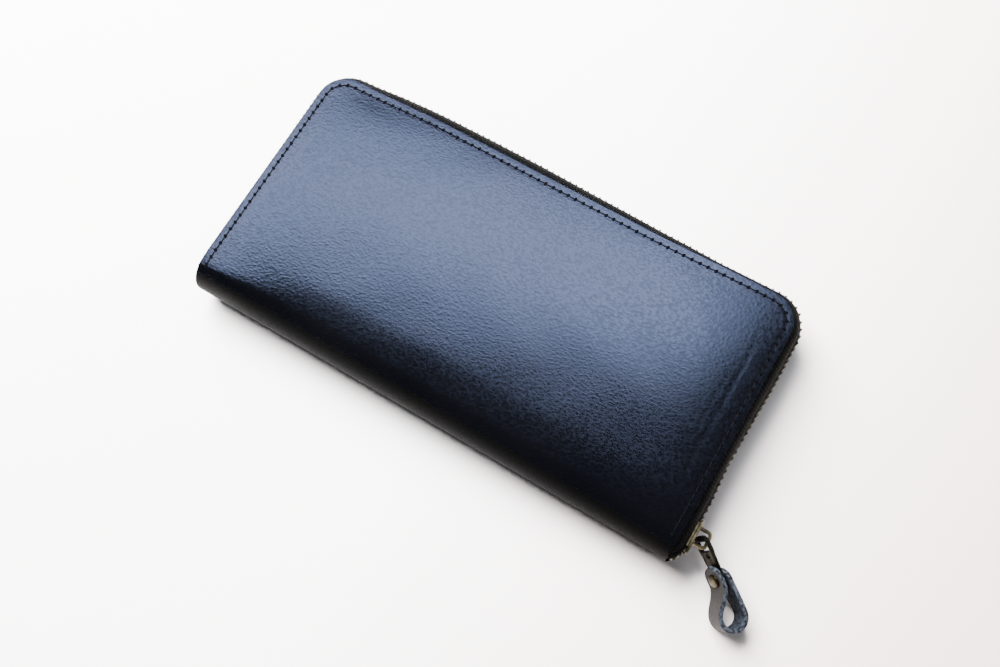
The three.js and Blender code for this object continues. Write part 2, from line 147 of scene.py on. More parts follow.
def leather(name, dark, light, rough, grain, relief, tint=(1, 1, 1), level=0.5, matte=0.05, drift=1.0):
    """Dyed leather: pebbles about a millimetre across, pores between them, and broad uneven dye. The pores
    are duller by `matte`, and the grain flattens along X to `drift` of its height."""
    made, tree, shader, at = surface(name, IOR=1.5, Specular_Tint=(*tint, 1), Specular_IOR_Level=level)
    stretch = {0: at, 1: (0.72, 1.15, 1.0)}
    drawn = node(tree, "ShaderNodeVectorMath", stretch, operation="MULTIPLY").outputs[0]
    slow = {"Vector": drawn, "Scale": 420.0 * grain, "Detail": 2.0}
    sway = node(tree, "ShaderNodeTexNoise", slow).outputs["Color"]
    bent = node(tree, "ShaderNodeMix", {0: 0.0011 / grain, 4: drawn, 5: sway}, data_type="VECTOR").outputs[1]
    cells = {"Vector": bent, "Scale": 880.0 * grain, "Smoothness": 0.7}
    pebbles = node(tree, "ShaderNodeTexVoronoi", cells, feature="SMOOTH_F1").outputs["Distance"]
    wrinkles = noise(tree, bent, 1500.0 * grain, 3.0)
    broad = noise(tree, at, 34.0, 4.0)
    height = weighted(tree, (pebbles, -0.55), (wrinkles, 0.5))
    along = maths(tree, "MULTIPLY", node(tree, "ShaderNodeSeparateXYZ", {"Vector": at}).outputs["X"], 5.0)
    looser = ramp(tree, maths(tree, "ADD", along, 0.5), (0.15, 1.0), (0.6, drift))
    shine = weighted(tree, (pebbles, 0.8), (broad, 0.2))
    links(
        tree,
        (bump(tree, maths(tree, "MULTIPLY", height, looser), relief, 1.0), shader.inputs["Normal"]),
        (ramp(tree, broad, (0.3, dark), (0.75, light)), shader.inputs["Base Color"]),
        (ramp(tree, shine, (0.2, rough - 0.03), (0.62, rough + matte)), shader.inputs["Roughness"]),
    )
    return made


def metal(name, bright, dark, rough):
    """Cast metal with a dark patina left in patches, and fine wear."""
    made, tree, shader, at = surface(name, Metallic=1.0)
    patches = noise(tree, at, 420.0, 4.0)
    fine = noise(tree, at, 2600.0, 3.0)
    links(
        tree,
        (ramp(tree, patches, (0.36, dark), (0.58, bright)), shader.inputs["Base Color"]),
        (ramp(tree, patches, (0.3, rough + 0.16), (0.65, rough)), shader.inputs["Roughness"]),
        (bump(tree, fine, 0.00003, 0.6), shader.inputs["Normal"]),
    )
    return made


def woven(name, dark, light, thread, rough, fuzz, level):
    """Cloth with crossing threads `thread` metres apart."""
    made, tree, shader, at = surface(name, Sheen_Weight=fuzz, Sheen_Roughness=0.6, Specular_IOR_Level=level)
    bands = {"Vector": at, "Scale": 0.32 / thread, "Distortion": 0.6, "Detail": 1.0}
    waves = [
        node(tree, "ShaderNodeTexWave", bands, bands_direction=direction).outputs["Fac"]
        for direction in ("DIAGONAL", "Z")
    ]
    weave = maths(tree, "MULTIPLY", *waves)
    links(
        tree,
        (ramp(tree, noise(tree, at, 260.0), (0.3, dark), (0.8, light)), shader.inputs["Base Color"]),
        (ramp(tree, weave, (0.0, rough + 0.05), (1.0, rough - 0.08)), shader.inputs["Roughness"]),
        (bump(tree, weave, thread * 0.3, 0.9), shader.inputs["Normal"]),
    )
    return made


def fibres(name, dark, light, scale, rough, relief, level, spread=(0.36, 0.64)):
    """A mottled, fibrous surface: suede, cut edges, thread and nylon."""
    made, tree, shader, at = surface(name, Specular_IOR_Level=level)
    coarse = noise(tree, at, scale, 5.0, 0.65)
    fine = noise(tree, at, scale * 5, 3.0)
    height = weighted(tree, (coarse, 1.0), (fine, 0.5))
    links(
        tree,
        (ramp(tree, coarse, (spread[0], dark), (spread[1], light)), shader.inputs["Base Color"]),
        (ramp(tree, fine, (0.3, rough - 0.06), (0.7, rough + 0.06)), shader.inputs["Roughness"]),
        (bump(tree, height, relief, 0.8), shader.inputs["Normal"]),
    )
    return made


BLUE = (0.565, 0.634, 1.0)  # the cool sheen of the hide's finish
HIDE_GRAIN = leather(
    "hide_grain", (0.0003, 0.0003, 0.0004), (0.0006, 0.0006, 0.0007), 0.155, 1.25, 0.00007,
    BLUE, matte=0.095, drift=0.45,
)
SPINE_GRAIN = leather(
    "spine_grain", (0.0005, 0.0005, 0.0005), (0.0009, 0.0009, 0.0009), 0.6, 1.6, 0.00004, level=0.03
)
HIDE_EDGE = fibres(
    "hide_burnished_edge", (0.0009, 0.0009, 0.0012), (0.003, 0.0031, 0.0042), 900.0, 0.42, 0.00003, 0.2
)
POCKET_GRAIN = leather(
    "pocket_grain", (0.0022, 0.0023, 0.0028), (0.0048, 0.005, 0.0062), 0.5, 1.5, 0.00006, level=0.25
)
PULL_GRAIN = leather(
    "pull_grain", (0.0044, 0.0041, 0.0039), (0.0102, 0.0096, 0.0092), 0.5, 1.6, 0.00006, level=0.12
)
SUEDE = fibres(
    "suede_inside", (0.0009, 0.0011, 0.0016), (0.0145, 0.018, 0.0245), 620.0, 0.95, 0.0003, 0.2, (0.4, 0.6)
)
CUT_EDGE = fibres(
    "pull_cut_edge", (0.001, 0.0012, 0.0017), (0.025, 0.029, 0.037), 900.0, 0.8, 0.00015, 0.2, (0.42, 0.58)
)
THREAD = fibres(
    "waxed_thread", (0.0006, 0.0006, 0.0009), (0.0024, 0.0024, 0.0033), 2400.0, 0.42, 0.00006, 0.1
)
HOLE = fibres("needle_hole", (0.0005, 0.0005, 0.0007), (0.0015, 0.0015, 0.002), 1500.0, 0.85, 0.00005, 0.06)
TAPE = woven("zip_tape_weave", (0.0004, 0.0004, 0.0004), (0.0012, 0.00115, 0.0011), 0.0007, 0.85, 0.0, 0.1)
LINING = woven("lining_twill", (0.003, 0.003, 0.0036), (0.0065, 0.0065, 0.0078), 0.0006, 0.82, 0.01, 0.2)
BRASS = metal("antique_brass", (0.15, 0.122, 0.068), (0.045, 0.037, 0.021), 0.34)
BRONZE = metal("dark_bronze", (0.021, 0.0195, 0.0145), (0.0075, 0.007, 0.0054), 0.4)
TOOTH = metal("tooth_brass", (0.07, 0.058, 0.034), (0.012, 0.01, 0.007), 0.36)
# painted shade: the rivet is a darker copy of the antique brass, dimming the bright floor it reflects
RIVET_BRASS_PAINTED_SHADE = metal("rivet_brass_painted_shade", (0.06, 0.049, 0.028), (0.02, 0.0165, 0.01), 0.3)
COIL = fibres("coil_nylon", (0.0025, 0.0025, 0.003), (0.006, 0.006, 0.007), 1200.0, 0.38, 0.00002, 0.3)

# ---------------------------------------------------------------- making pieces


def piece(name, verts, faces, materials, index=None):
    """A mesh object from millimetre points. index gives each face's material."""
    mesh = bpy.data.meshes.new(name)
    mesh.from_pydata([Vector(v) * MM for v in verts], [], faces)
    for material in materials if isinstance(materials, (list, tuple)) else [materials]:
        mesh.materials.append(material)
    if index is not None:
        mesh.polygons.foreach_set("material_index", index)
    made = bpy.data.objects.new(name, mesh)
    bpy.context.scene.collection.objects.link(made)
    return shade(made)


def shade(made):
    """Smooth shading, with its sharp edges kept."""
    made.data.shade_smooth()
    made.data.set_sharp_from_angle(angle=SHARP)
    return made


def bake(made):
    """Turns a piece with modifiers into its final mesh."""
    bpy.context.view_layer.update()
    result = bpy.data.meshes.new_from_object(made.evaluated_get(bpy.context.evaluated_depsgraph_get()))
    made.modifiers.clear()
    old, made.data = made.data, result
    result.name = made.name
    bpy.data.meshes.remove(old)
    return shade(made)


def thicken(made, thickness, edge, inside=0, rim=0, segments=3, even=True):
    """Gives a sheet thickness on its inner side, with rounded edges."""
    solid = made.modifiers.new("thickness", "SOLIDIFY")
    solid.thickness, solid.offset = thickness * MM, -1.0
    solid.material_offset, solid.material_offset_rim = inside, rim
    solid.use_even_offset = even
    soften(made, edge, segments)
    return bake(made)


def soften(made, width, segments, limit=50):
    """Rounds the edges that bend more than the limit, once the piece is baked."""
    rounded = made.modifiers.new("rounded", "BEVEL")
    rounded.width, rounded.segments = width * MM, segments
    rounded.limit_method, rounded.angle_limit = "ANGLE", radians(limit)


def place(made, body, slot, replaces=()):
    """The body a piece moves with and the solids it stands for. Its slot argument is not used."""
    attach(made, body)
    if replaces:
        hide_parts(*replaces)


def grid(rows):
    """Faces of a rectangular grid of points, rows of equal length."""
    n = len(rows[0])
    verts = [p for row in rows for p in row]
    faces = [
        (i * n + j, i * n + j + 1, (i + 1) * n + j + 1, (i + 1) * n + j)
        for i in range(len(rows) - 1)
        for j in range(n - 1)
    ]
    return verts, faces


def on_half(side, part):
    """The front half's (verts, faces), or the same shape on the back half."""
    verts, faces = part
    if side == "front":
        return part
    return [(x, y, 2 * MID - z) for x, y, z in verts], [tuple(reversed(f)) for f in faces]


def tube(rings):
    """Faces round and along a row of rings of equal length, closed at both ends."""
    n, last = len(rings[0]), (len(rings) - 1) * len(rings[0])
    verts = [v for ring in rings for v in ring]
    faces = [
        (a + j, a + (j + 1) % n, a + n + (j + 1) % n, a + n + j) for a in range(0, last, n) for j in range(n)
    ]
    return verts, faces + [tuple(reversed(range(n))), tuple(range(last, last + n))]


def sweep(path, section, up=(0, 0, 1)):
    """A bar along a path. section is a loop of (side, up) points."""
    points = [Vector(p) for p in path]
    rings = []
    for i, p in enumerate(points):
        along = (points[min(i + 1, len(points) - 1)] - points[max(i - 1, 0)]).normalized()
        side = along.cross(Vector(up)).normalized()
        lift = side.cross(along)
        rings.append([p + side * a + lift * b for a, b in section])
    n = len(section)
    verts = [v for ring in rings for v in ring]
    faces = []
    for i in range(len(points) - 1):
        for j in range(n):
            a, b = i * n, (i + 1) * n
            faces.append((a + j, a + (j + 1) % n, b + (j + 1) % n, b + j))
    faces += [tuple(range(n)), tuple(reversed(range(len(verts) - n, len(verts))))]
    return verts, [tuple(reversed(f)) for f in faces]


def ellipse(a, b, n=8, power=2.0):
    """A loop of n points; power above 2 squares it up."""
    bent = lambda v: abs(v) ** (2 / power) * (1 if v > 0 else -1)
    return [(a * bent(cos(2 * pi * i / n)), b * bent(sin(2 * pi * i / n))) for i in range(n)]


def gather(parts):
    """Several (verts, faces) as one."""
    verts, faces = [], []
    for v, f in parts:
        start = len(verts)
        verts += list(v)
        faces += [tuple(start + i for i in face) for face in f]
    return verts, faces


def moved(part, matrix):
    verts, faces = part
    return [matrix @ Vector(v) for v in verts], faces


def plate(name, loops, thickness, edge, materials, plane, shift=0.0, resolution=2):
    """A flat plate from an outline and its holes, with rounded edges. plane maps (u, v, w) to the frame."""
    curve = bpy.data.curves.new(name, "CURVE")
    curve.dimensions, curve.fill_mode = "2D", "BOTH"
    curve.extrude, curve.bevel_depth = thickness / 2 - edge, edge
    curve.bevel_resolution, curve.offset = resolution, -edge
    for loop in loops:
        line = curve.splines.new("POLY")
        line.points.add(len(loop) - 1)
        for point, (u, v) in zip(line.points, loop):
            point.co = (u, v, 0, 1)
        line.use_cyclic_u = True
    temporary = bpy.data.objects.new(name + "_curve", curve)
    bpy.context.scene.collection.objects.link(temporary)
    bpy.context.view_layer.update()
    mesh = bpy.data.meshes.new_from_object(temporary)
    bpy.data.objects.remove(temporary)
    bpy.data.curves.remove(curve)
    bm = bmesh.new()
    bm.from_mesh(mesh)
    bmesh.ops.remove_doubles(bm, verts=bm.verts, dist=1e-4)
    bmesh.ops.recalc_face_normals(bm, faces=bm.faces)
    verts = [tuple(plane(v.co.x, v.co.y, v.co.z + shift)) for v in bm.verts]
    faces = [tuple(v.index for v in f.verts) for f in bm.faces]
    bm.free()
    bpy.data.meshes.remove(mesh)
    a, b, c = (Vector(plane(*e)) - Vector(plane(0, 0, 0)) for e in ((1, 0, 0), (0, 1, 0), (0, 0, 1)))
    if a.cross(b).dot(c) < 0:
        faces = [tuple(reversed(f)) for f in faces]
    return piece(name, verts, faces, materials)


def lathe(profile, steps=24):
    """A turned solid about +Z from (radius, height) points that start and end on the axis."""
    inner = profile[1:-1]
    turns = [2 * pi * k / steps for k in range(steps)]
    rings = [[(r * cos(a), r * sin(a), z) for a in turns] for r, z in inner]
    verts = [p for ring in rings for p in ring] + [(0, 0, profile[0][1]), (0, 0, profile[-1][1])]
    faces = []
    for i in range(len(rings) - 1):
        for k in range(steps):
            a, b = i * steps, (i + 1) * steps
            faces.append((a + k, a + (k + 1) % steps, b + (k + 1) % steps, b + k))
    last = (len(rings) - 1) * steps
    for k in range(steps):
        faces.append((len(verts) - 2, (k + 1) % steps, k))
        faces.append((len(verts) - 1, last + k, last + (k + 1) % steps))
    return verts, faces


# ---------------------------------------------------------------- the hide


def ease(t):
    t = min(1.0, max(0.0, t))
    return t * t * (3 - 2 * t)


def far_edge(x):
    """The hide's far edge at x, round at its corners."""
    over = abs(x) - (HALF_X - CORNER)
    return HALF_Y if over <= 0 else HALF_Y - CORNER + sqrt(max(0.0, CORNER**2 - over**2))


def inset(x, y):
    """Distance inside the zipped edges."""
    over_x, over_y = abs(x) - (HALF_X - CORNER), y - (HALF_Y - CORNER)
    if over_x > 0 and over_y > 0:
        return CORNER - hypot(over_x, over_y)
    return min(HALF_X - abs(x), HALF_Y - y)


def bulk(x, y):
    """Half the wallet's thickness at a point of the panel, before the seam presses it down."""
    near_x, near_y = exp(-(HALF_X - abs(x)) / 12.0), exp(-max(0.0, HALF_Y - y) / 26.0)
    return MID - EDGE_DROP * (1 - (1 - near_x) * (1 - near_y))


ONSET = -27.0  # where the front begins to bend towards the spine


def spine(x):
    """The spine's half-ellipse at x: its depth, height and centre line, then the angle where the panel meets
    it and the panel's slope there. The left end is pinched, so there the panel stays flat for longer."""
    lean = radians(6.0) * ease((x + 88) / 40)
    flat = 1.0 - 0.3 * ease((-x - 62) / 28)
    shoulder = bulk(x, -38.0)  # half the thickness where the spine begins
    height = shoulder
    for _ in range(3):
        depth = height * flat
        start = atan2(depth * tan(lean), height)
        drop = tan(lean) * max(0.0, ONSET + HALF_Y - depth * (1 - sin(start))) / 2
        height = (shoulder - drop) / cos(start)
    depth = height * flat
    return depth, height, depth - HALF_Y, start, tan(lean)


def pressed(x, y):
    """How far the seam and the edges of the card panels inside press the surface down."""
    d = inset(x, y)
    along = ease((y + 44) / 6)
    seam = 0.03 * exp(-(((d - SEAM_INSET) / 0.6) ** 2))
    panel = 0.045 * exp(-(((abs(x) - 87.2) / 0.9) ** 2)) * ease((36 - y) / 22) * ease((y + 34) / 10)
    second = 0.02 * exp(-(((abs(x) - 84.4) / 0.7) ** 2)) * ease((26 - y) / 20) * ease((y + 20) / 16)
    dent = 0.15 * exp(-(((x + 78) / 11) ** 2) - ((y - 46) / 4.5) ** 2)
    dent += 0.09 * exp(-(((x - 58) / 17) ** 2) - ((y - 45) / 4.5) ** 2)
    sway = 0.035 * sin(x / 7.0 + 1.3 * sin(y / 11.0)) * sin(y / 6.5 + 0.9 * sin(x / 13.0)) * ease(d / 9)
    return along * seam + panel + second + dent + sway * ease((y + 46) / 14)


def hide_point(x, y):
    """The front's outer surface above (x, y), round the spine where y is past its centre line."""
    depth, height, centre, start, slope = spine(x)
    edge = centre - depth * sin(start)
    if y >= edge:
        past = max(0.0, ONSET - y)
        return (x, y, MID + bulk(x, y) - slope * past**2 / 2 / max(1.0, ONSET - edge) - pressed(x, y))
    back = (centre - y) / depth
    return (x, y, MID + height * sqrt(max(0.0, 1 - back**2)) - pressed(x, y) * ease((y + 47) / 6))


def spread(stops):
    """Places along a line from (place, step) stops, each step reaching to the next stop."""
    made = []
    for (a, step), (b, _) in zip(stops, stops[1:]):
        count = max(1, round(abs(b - a) / step))
        made += [a + (b - a) * i / count for i in range(count)]
    return made + [stops[-1][0]]


def hide_rows():
    """Rows of the front half's outer surface, from the far edge to just past the middle of the spine."""
    round_end = [HALF_X - CORNER * (1 - sin(radians(a))) for a in (75, 79, 83, 87, 90)]
    half = spread([(0, 4.5), (72, 2.0), (82, 0.8), (90.5, 0.55), (round_end[0], 1)]) + round_end[1:]
    xs = [-x for x in reversed(half[1:])] + half
    depths = spread([(0, 0.55), (6, 0.8), (10, 2.0), (20, 4.0), (76, 2.0), (86, 2.0)])
    rows = []
    for depth in depths:
        pull_in = 1 - ease(depth / 34)
        row = []
        for x in xs:
            y = HALF_Y - depth + (far_edge(x) - HALF_Y) * pull_in
            if depth > 60:
                reach, _, centre, start, _ = spine(x)
                y += (centre - reach * sin(start) + 39.2) * (depth - 60) / 26
            row.append(hide_point(x, y))
        rows.append(row)
    for turn in [i / 14 for i in range(15)] + [1.045, 1.1]:
        row = []
        for x in xs:
            depth, height, centre, start, _ = spine(x)
            sunk = 0.0 if turn <= 1 else 0.015
            a = start + (pi / 2 - start) * turn
            y, z = centre - (depth - sunk) * sin(a), MID + (height - sunk) * cos(a)
            row.append((x, y, z - pressed(x, y) * ease((y + 47) / 6)))
        rows.append(row)
    return rows


def settle(part):
    """The real outline: the far edge bows in to the left, with its seam, and the two ends stand out."""
    verts, faces = part
    made = []
    for x, y, z in verts:
        far = 0.75 + 1.35 * ease((-x - 48) / 38) - 1.05 * ease((x - 35) / 50)
        far = far * ease((y + 10) / 50) + 0.4 * ease((HALF_Y - y) / 2.4) * ease((y - 20) / 22)
        end = 0.2 * ease((x - 70) / 26) - 0.7 * ease((-x - 70) / 26)
        made.append((x + end * ease((y + 49) / 14), y - far, z))
    return made, faces


hide_lines = hide_rows()
hide = settle(grid(hide_lines))


def blend(made):
    """Bakes a piece's placement into its mesh."""
    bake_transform(made)


SPINE_LINES = 12  # how many of the hide's last lines are the spine's lower part
across = len(hide_lines[0]) - 1
low = [int(i // across >= len(hide_lines) - SPINE_LINES) for i in range(len(hide[1]))]
for side in ("front", "back"):
    verts, faces = on_half(side, hide)
    faces = [tuple(reversed(f)) for f in faces]
    made = piece(f"{side}_hide", verts, faces, [HIDE_GRAIN, SPINE_GRAIN, LINING, HIDE_EDGE], index=low)
    thicken(made, HIDE, 0.3, inside=2, rim=3)
    blend(made)
    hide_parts(f"{side}_cover", "spine_cover")

# ---------------------------------------------------------------- the seam

SEAM_END = -42.0


def ring_at(s, offset, start):
    """A point and outward normal at length s round the three zipped sides, `offset` outside the hide's edge,
    from y = start on the right, and the whole length. Past either end it curls in behind the spine."""
    reach = CORNER + 3.0
    straight, turn, across = HALF_Y - CORNER - start, reach * pi / 2, 2 * (HALF_X - CORNER)
    total = 2 * straight + 2 * turn + across
    sign = 1
    if s > total / 2:
        s, sign = total - s, -1
    if s < 0:
        a = max(-1.1, s / 8.0)
        centre, r, n = (HALF_X - 5.0, start), 5.0, (cos(a), sin(a))
    elif s < straight:
        centre, r, n = (HALF_X, start + s), 0.0, (1.0, 0.0)
    elif s < straight + turn:
        a = (s - straight) / reach
        centre, r, n = (HALF_X - CORNER, HALF_Y - CORNER), CORNER, (cos(a), sin(a))
    else:
        centre, r, n = (HALF_X - CORNER - (s - straight - turn), HALF_Y), 0.0, (0.0, 1.0)
    x, y = centre[0] + n[0] * (r + offset), centre[1] + n[1] * (r + offset)
    return Vector((sign * x, y, 0)), Vector((sign * n[0], n[1], 0)), total


def seam_points():
    """Places of the needle holes, in equal steps along the seam."""
    _, _, total = ring_at(0, 0, SEAM_END)
    real = total - 2 * (3.0 + SEAM_INSET) * pi / 2
    count = round(real / STITCH)
    # equal steps along the seam itself, which is shorter than the reference line at the corners
    dense = [ring_at(total * i / 2000, -SEAM_INSET, SEAM_END)[0] for i in range(2001)]
    lengths = np.concatenate([[0], np.cumsum([(b - a).length for a, b in zip(dense, dense[1:])])])
    places = np.interp(np.linspace(0, lengths[-1], count + 1), lengths, np.arange(2001))
    return [dense[int(round(i))] for i in places]


def on_hide(p, lift=0.0):
    """The point of the front's outer surface above p, lifted a little."""
    return Vector(hide_point(p.x, p.y)) + Vector((0, 0, lift))


def stitch(a, b):
    """A thread from hole to hole that rises out of one and dips into the other."""
    along = (b - a).normalized()
    across = along.cross(Vector((0, 0, 1)))
    arch = ((0.06, 0.02), (0.16, 0.07), (0.34, 0.1), (0.5, 0.11), (0.66, 0.1), (0.84, 0.07), (0.94, 0.02))
    path = [
        on_hide(a.lerp(b, t) + across * 0.14 * (0.5 - t), lift - 0.3 * abs(2 * t - 1) ** 4)
        for t, lift in arch
    ]
    return sweep(path, ellipse(SEAM_THREAD, SEAM_THREAD, 6))


def needle_hole(p, along):
    """A slanted slit pressed open by the thread."""
    turn = Matrix.Rotation(atan2(along.y, along.x) + radians(62), 4, "Z")
    dome = lathe([(0, -0.3), (0.78, -0.3), (0.77, 0.1), (0.58, 0.2), (0, 0.22)], 12)
    return moved(dome, Matrix.Translation(on_hide(p)) @ turn @ Matrix.Diagonal((1.0, 0.76, 1.0, 1.0)))


holes = seam_points()
threads = settle(gather([stitch(a, b) for a, b in zip(holes, holes[1:])]))
ways = [(b - a).normalized() for a, b in zip(holes, holes[1:])]
slits = settle(gather([needle_hole(p, d) for p, d in zip(holes, ways + ways[-1:])]))
for side in ("front", "back"):
    for name, part, material, stands in (
        ("seam_stitches", threads, THREAD, (f"{side}_seam_thread",)),
        ("seam_needle_holes", slits, HOLE, ()),
    ):
        made = piece(f"{side}_{name}", *on_half(side, part), material)
        blend(made)
        if stands:
            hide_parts(*stands)

# ---------------------------------------------------------------- the zip

ZIP_START = -42.5
ZIP_TOTAL = ring_at(0, 0, ZIP_START)[2]
CURL = 7.0
# lengths round the zip, and how far it stands out there
WANDER = (
    (0, -0.3), (18, -0.3), (32, -1.2), (48, -0.8), (63, -0.34), (78, -0.32), (92, -0.2), (106, -0.8),
    (118, -1.0), (138, 0.0), (158, 0.5), (178, 0.8), (198, 1.2), (218, 1.2), (238, 1.0), (258, 0.8),
    (272, 0.0), (290, -0.6), (320, -0.9), (376, -0.9),
)


def swell(s):
    """How far the chain stands out from its drawn line: it wanders a little on its way round."""
    return float(np.interp(s, *zip(*WANDER)))


def apart(s):
    """How far each row is from the closed chain's middle, near the mouth of the slider."""
    return 2.1 * ease((6.5 - s) / 11)


def tape_row(s):
    """The front tape's section at s, from under the hide out and down to its teeth."""
    point, normal, _ = ring_at(s, 0, ZIP_START)
    out = max(swell(s), -0.7)  # the slider's flanges have to pass inside it
    top = 18.55  # just under the hide
    end = max(0.0, -s)
    low = apart(s)
    section = [
        (-7.0 + end * 0.6, top), (-3.0, top), (-0.4, top - 0.05), (1.0 + out * 0.5, top - 0.5),
        (2.3 + out * 0.8, top - 1.5), (3.1 + out, top - 2.8), (3.35 + out, top - 4.2),
        (CHAIN + out, 13.3 + low * 0.6),
    ]
    return [point + normal * o + Vector((0, 0, z - 0.10 * end * (z - MID) / 8)) for o, z in section]


def tape_stations():
    return [-CURL + (ZIP_TOTAL + CURL + 0.5) * i / 190 for i in range(191)]


tape = settle(grid([tape_row(s) for s in tape_stations()]))
bead_line = [
    ring_at(s, CHAIN + swell(s), ZIP_START)[0] + Vector((0, 0, 13.45 + apart(s))) for s in tape_stations()
]
bead = settle(sweep(bead_line, ellipse(0.55, 0.5, 6)))


def tooth():
    """One tooth of the front row: legs on the tape's bead, and a narrower head past the middle. X runs along
    the chain, Y out of the wallet, Z towards its own tape."""
    depth, width = 1.0, 0.56
    levels = (
        (-1.05, 0.62, 0.72), (-0.75, 0.9, 0.95), (0.2, 1.0, 1.0), (0.9, 1.0, 1.0), (1.5, 0.78, 1.12),
        (2.7, 0.7, 1.16),
    )
    outline = ellipse(1, 1, 8, 4.5)
    return tube([[(width * w * a, depth * d * b, z) for a, b in outline] for z, w, d in levels])


def teeth_row(shift):
    """All teeth of one row; the other row is shifted by half a step."""
    made = []
    shape = tooth()
    count = int((ZIP_TOTAL + CURL - 1.2) / TOOTH_PITCH)
    for i in range(count):
        s = -(CURL - 1.2) + shift + i * TOOTH_PITCH
        point, normal, _ = ring_at(s, CHAIN + swell(s), ZIP_START)
        along = Vector((0, 0, 1)).cross(normal)
        at = Matrix((along, normal, (0, 0, 1))).transposed().to_4x4()
        at.translation = point + Vector((0, 0, MID + apart(s)))
        made.append(moved(shape, at))
    return settle(gather(made))


for side, shift in (("front", 0.0), ("back", TOOTH_PITCH / 2)):
    half = f"{side}_half"
    made = piece(f"{side}_tape", *on_half(side, tape), TAPE)
    thicken(made, 0.5, 0.12, segments=2, even=False)
    place(made, half, "zip_tape", [f"{side}_zip_tape"])
    place(piece(f"{side}_tape_bead", *on_half(side, bead), TAPE), half, "zip_tape")
    row = piece(f"{side}_teeth", *on_half(side, teeth_row(shift)), TOOTH)
    place(row, half, "brass", [f"{side}_zip_teeth"])

# ---------------------------------------------------------------- sliders


def leaf(length, mouth, tail):
    """A slider shell's outline: wide and cut back at its mouth, narrower and round at its tail."""
    end = length / 2
    side = [(-end, mouth * 0.45), (-end * 0.93, mouth * 0.86), (-end * 0.78, mouth), (-end * 0.4, mouth)]
    side += [
        (-end * 0.4 + (end * 1.25) * t, mouth + (tail - mouth) * ease(t)) for t in (0.2, 0.4, 0.6, 0.8, 1.0)
    ]
    side += [(end * (0.85 + 0.15 * sin(a)), tail * (0.55 + 0.45 * cos(a))) for a in (0.5, 0.95, 1.35)]
    side.append((end, tail * 0.3))
    return side + [(y, -z) for y, z in reversed(side)]


def slider_pieces(name, to_frame, spec):
    """Two shells with flanges, the post between them and the bail, made in the slider's own frame: X out of
    the chain, Y towards the closed chain, Z across it."""
    inner, outer = spec["inner"], spec["outer"]
    lip, half_length = spec["lip"], spec["length"] / 2
    parts = []
    for i, (low, high) in enumerate((inner, outer)):
        outline, thick, middle = leaf(spec["length"], *spec["width"][i]), high - low, (low + high) / 2
        made = plate(
            f"{name}_shell_{i}", [outline], thick, 0.42 * thick, BRASS, lambda u, v, w: (w, u, v), middle
        )
        parts.append(made)
    # flanges: strips along both sides of each shell, turned towards the tape
    strips = []
    for shell, (near, far) in ((0, (inner[1] - 0.1, inner[1] + lip)), (1, (outer[0] + 0.1, outer[0] - lip))):
        mouth, tail = spec["width"][shell]
        for sign in (1, -1):
            path = [
                Vector(((near + far) / 2, y, sign * (w - 0.42)))
                for y, w in (
                    (-half_length * 0.62, mouth),
                    (-half_length * 0.4, mouth),
                    (-half_length * 0.05, mouth * 0.98),
                    (half_length * 0.4, tail + (mouth - tail) * 0.25),
                    (half_length * 0.78, tail),
                )
            ]
            strips.append(sweep(path, ellipse(abs(far - near) / 2, 0.4, 8, 4)))
    parts.append(piece(f"{name}_flanges", *gather(strips), BRASS))
    post = sweep(
        [(inner[1] - 0.2, -half_length + 1.6, 0), (outer[0] + 0.2, -half_length + 1.6, 0)],
        [(a * 0.5, b * 0.45) for a, b in ((-2.6, 0), (0, 1), (2.6, 0), (0, -1))],
    )
    parts.append(piece(f"{name}_post", *post, BRASS))
    bail = spec["bail"]
    x0, reach, y0, y1, thick, wide = (bail[k] for k in ("foot", "reach", "low", "high", "thick", "wide"))
    r = bail["turn"]
    quarter = [pi / 2 * k / 6 for k in range(7)]
    path = [(x0, y0, 0), (x0 + (reach - x0) * 0.5, y0, 0)]
    path += [(reach - r + r * sin(a), y0 + r - r * cos(a), 0) for a in quarter]
    path += [(reach - r + r * cos(a), y1 - r + r * sin(a), 0) for a in quarter]
    path += [(x0 + (reach - x0) * 0.5, y1, 0), (x0, y1, 0)]
    parts.append(piece(f"{name}_bail", *sweep(path, ellipse(thick, wide, 10, 3.0)), BRASS))
    for part in parts:
        part.data.transform(Matrix.Scale(MM, 4) @ to_frame @ Matrix.Scale(1 / MM, 4))
    return parts


def join(name, parts):
    """One object from several, in a fixed order."""
    bm = bmesh.new()
    for part in parts:
        bm.from_mesh(part.data)
    first = parts[0]
    mesh = bpy.data.meshes.new(name)
    bm.to_mesh(mesh)
    bm.free()
    for material in first.data.materials:
        mesh.materials.append(material)
    made = bpy.data.objects.new(name, mesh)
    bpy.context.scene.collection.objects.link(made)
    for part in parts:
        data = part.data
        bpy.data.objects.remove(part)
        bpy.data.meshes.remove(data)
    return shade(made)


MAIN = {
    "length": 12.8,
    "inner": (0.4, 1.35),
    "outer": (4.0, 5.0),
    "width": ((4.2, 3.5), (4.3, 3.6)),
    "lip": 0.75,
    "bail": {"foot": 4.6, "reach": 9.2, "low": -1.7, "high": 4.0, "thick": 0.65, "wide": 1.0, "turn": 1.3},
}
main_frame = Matrix.Translation((HALF_X, SLIDER_Y, MID))
slider = join("zip_slider_body", slider_pieces("zip_slider", main_frame, MAIN))
place(slider, "zip_slider", "brass", ["zip_slider"])

# ---------------------------------------------------------------- the pull

pull_frame = Matrix.Translation(PIVOT) @ Euler((0, PITCH, YAW), "XYZ").to_matrix().to_4x4()


def in_pull(x, y, z):
    """A place given along the pull, through it (away from the spine) and across it."""
    bowl, head = ease((x - 15) / 12), 1 - ease((x - 2) / 6)
    lean = LOOP_ROLL + (ROLL - LOOP_ROLL) * (1 - bowl) - HEAD_UPRIGHT * head
    return pull_frame @ Vector((x, y * cos(lean) + z * sin(lean), z * cos(lean) - y * sin(lean)))


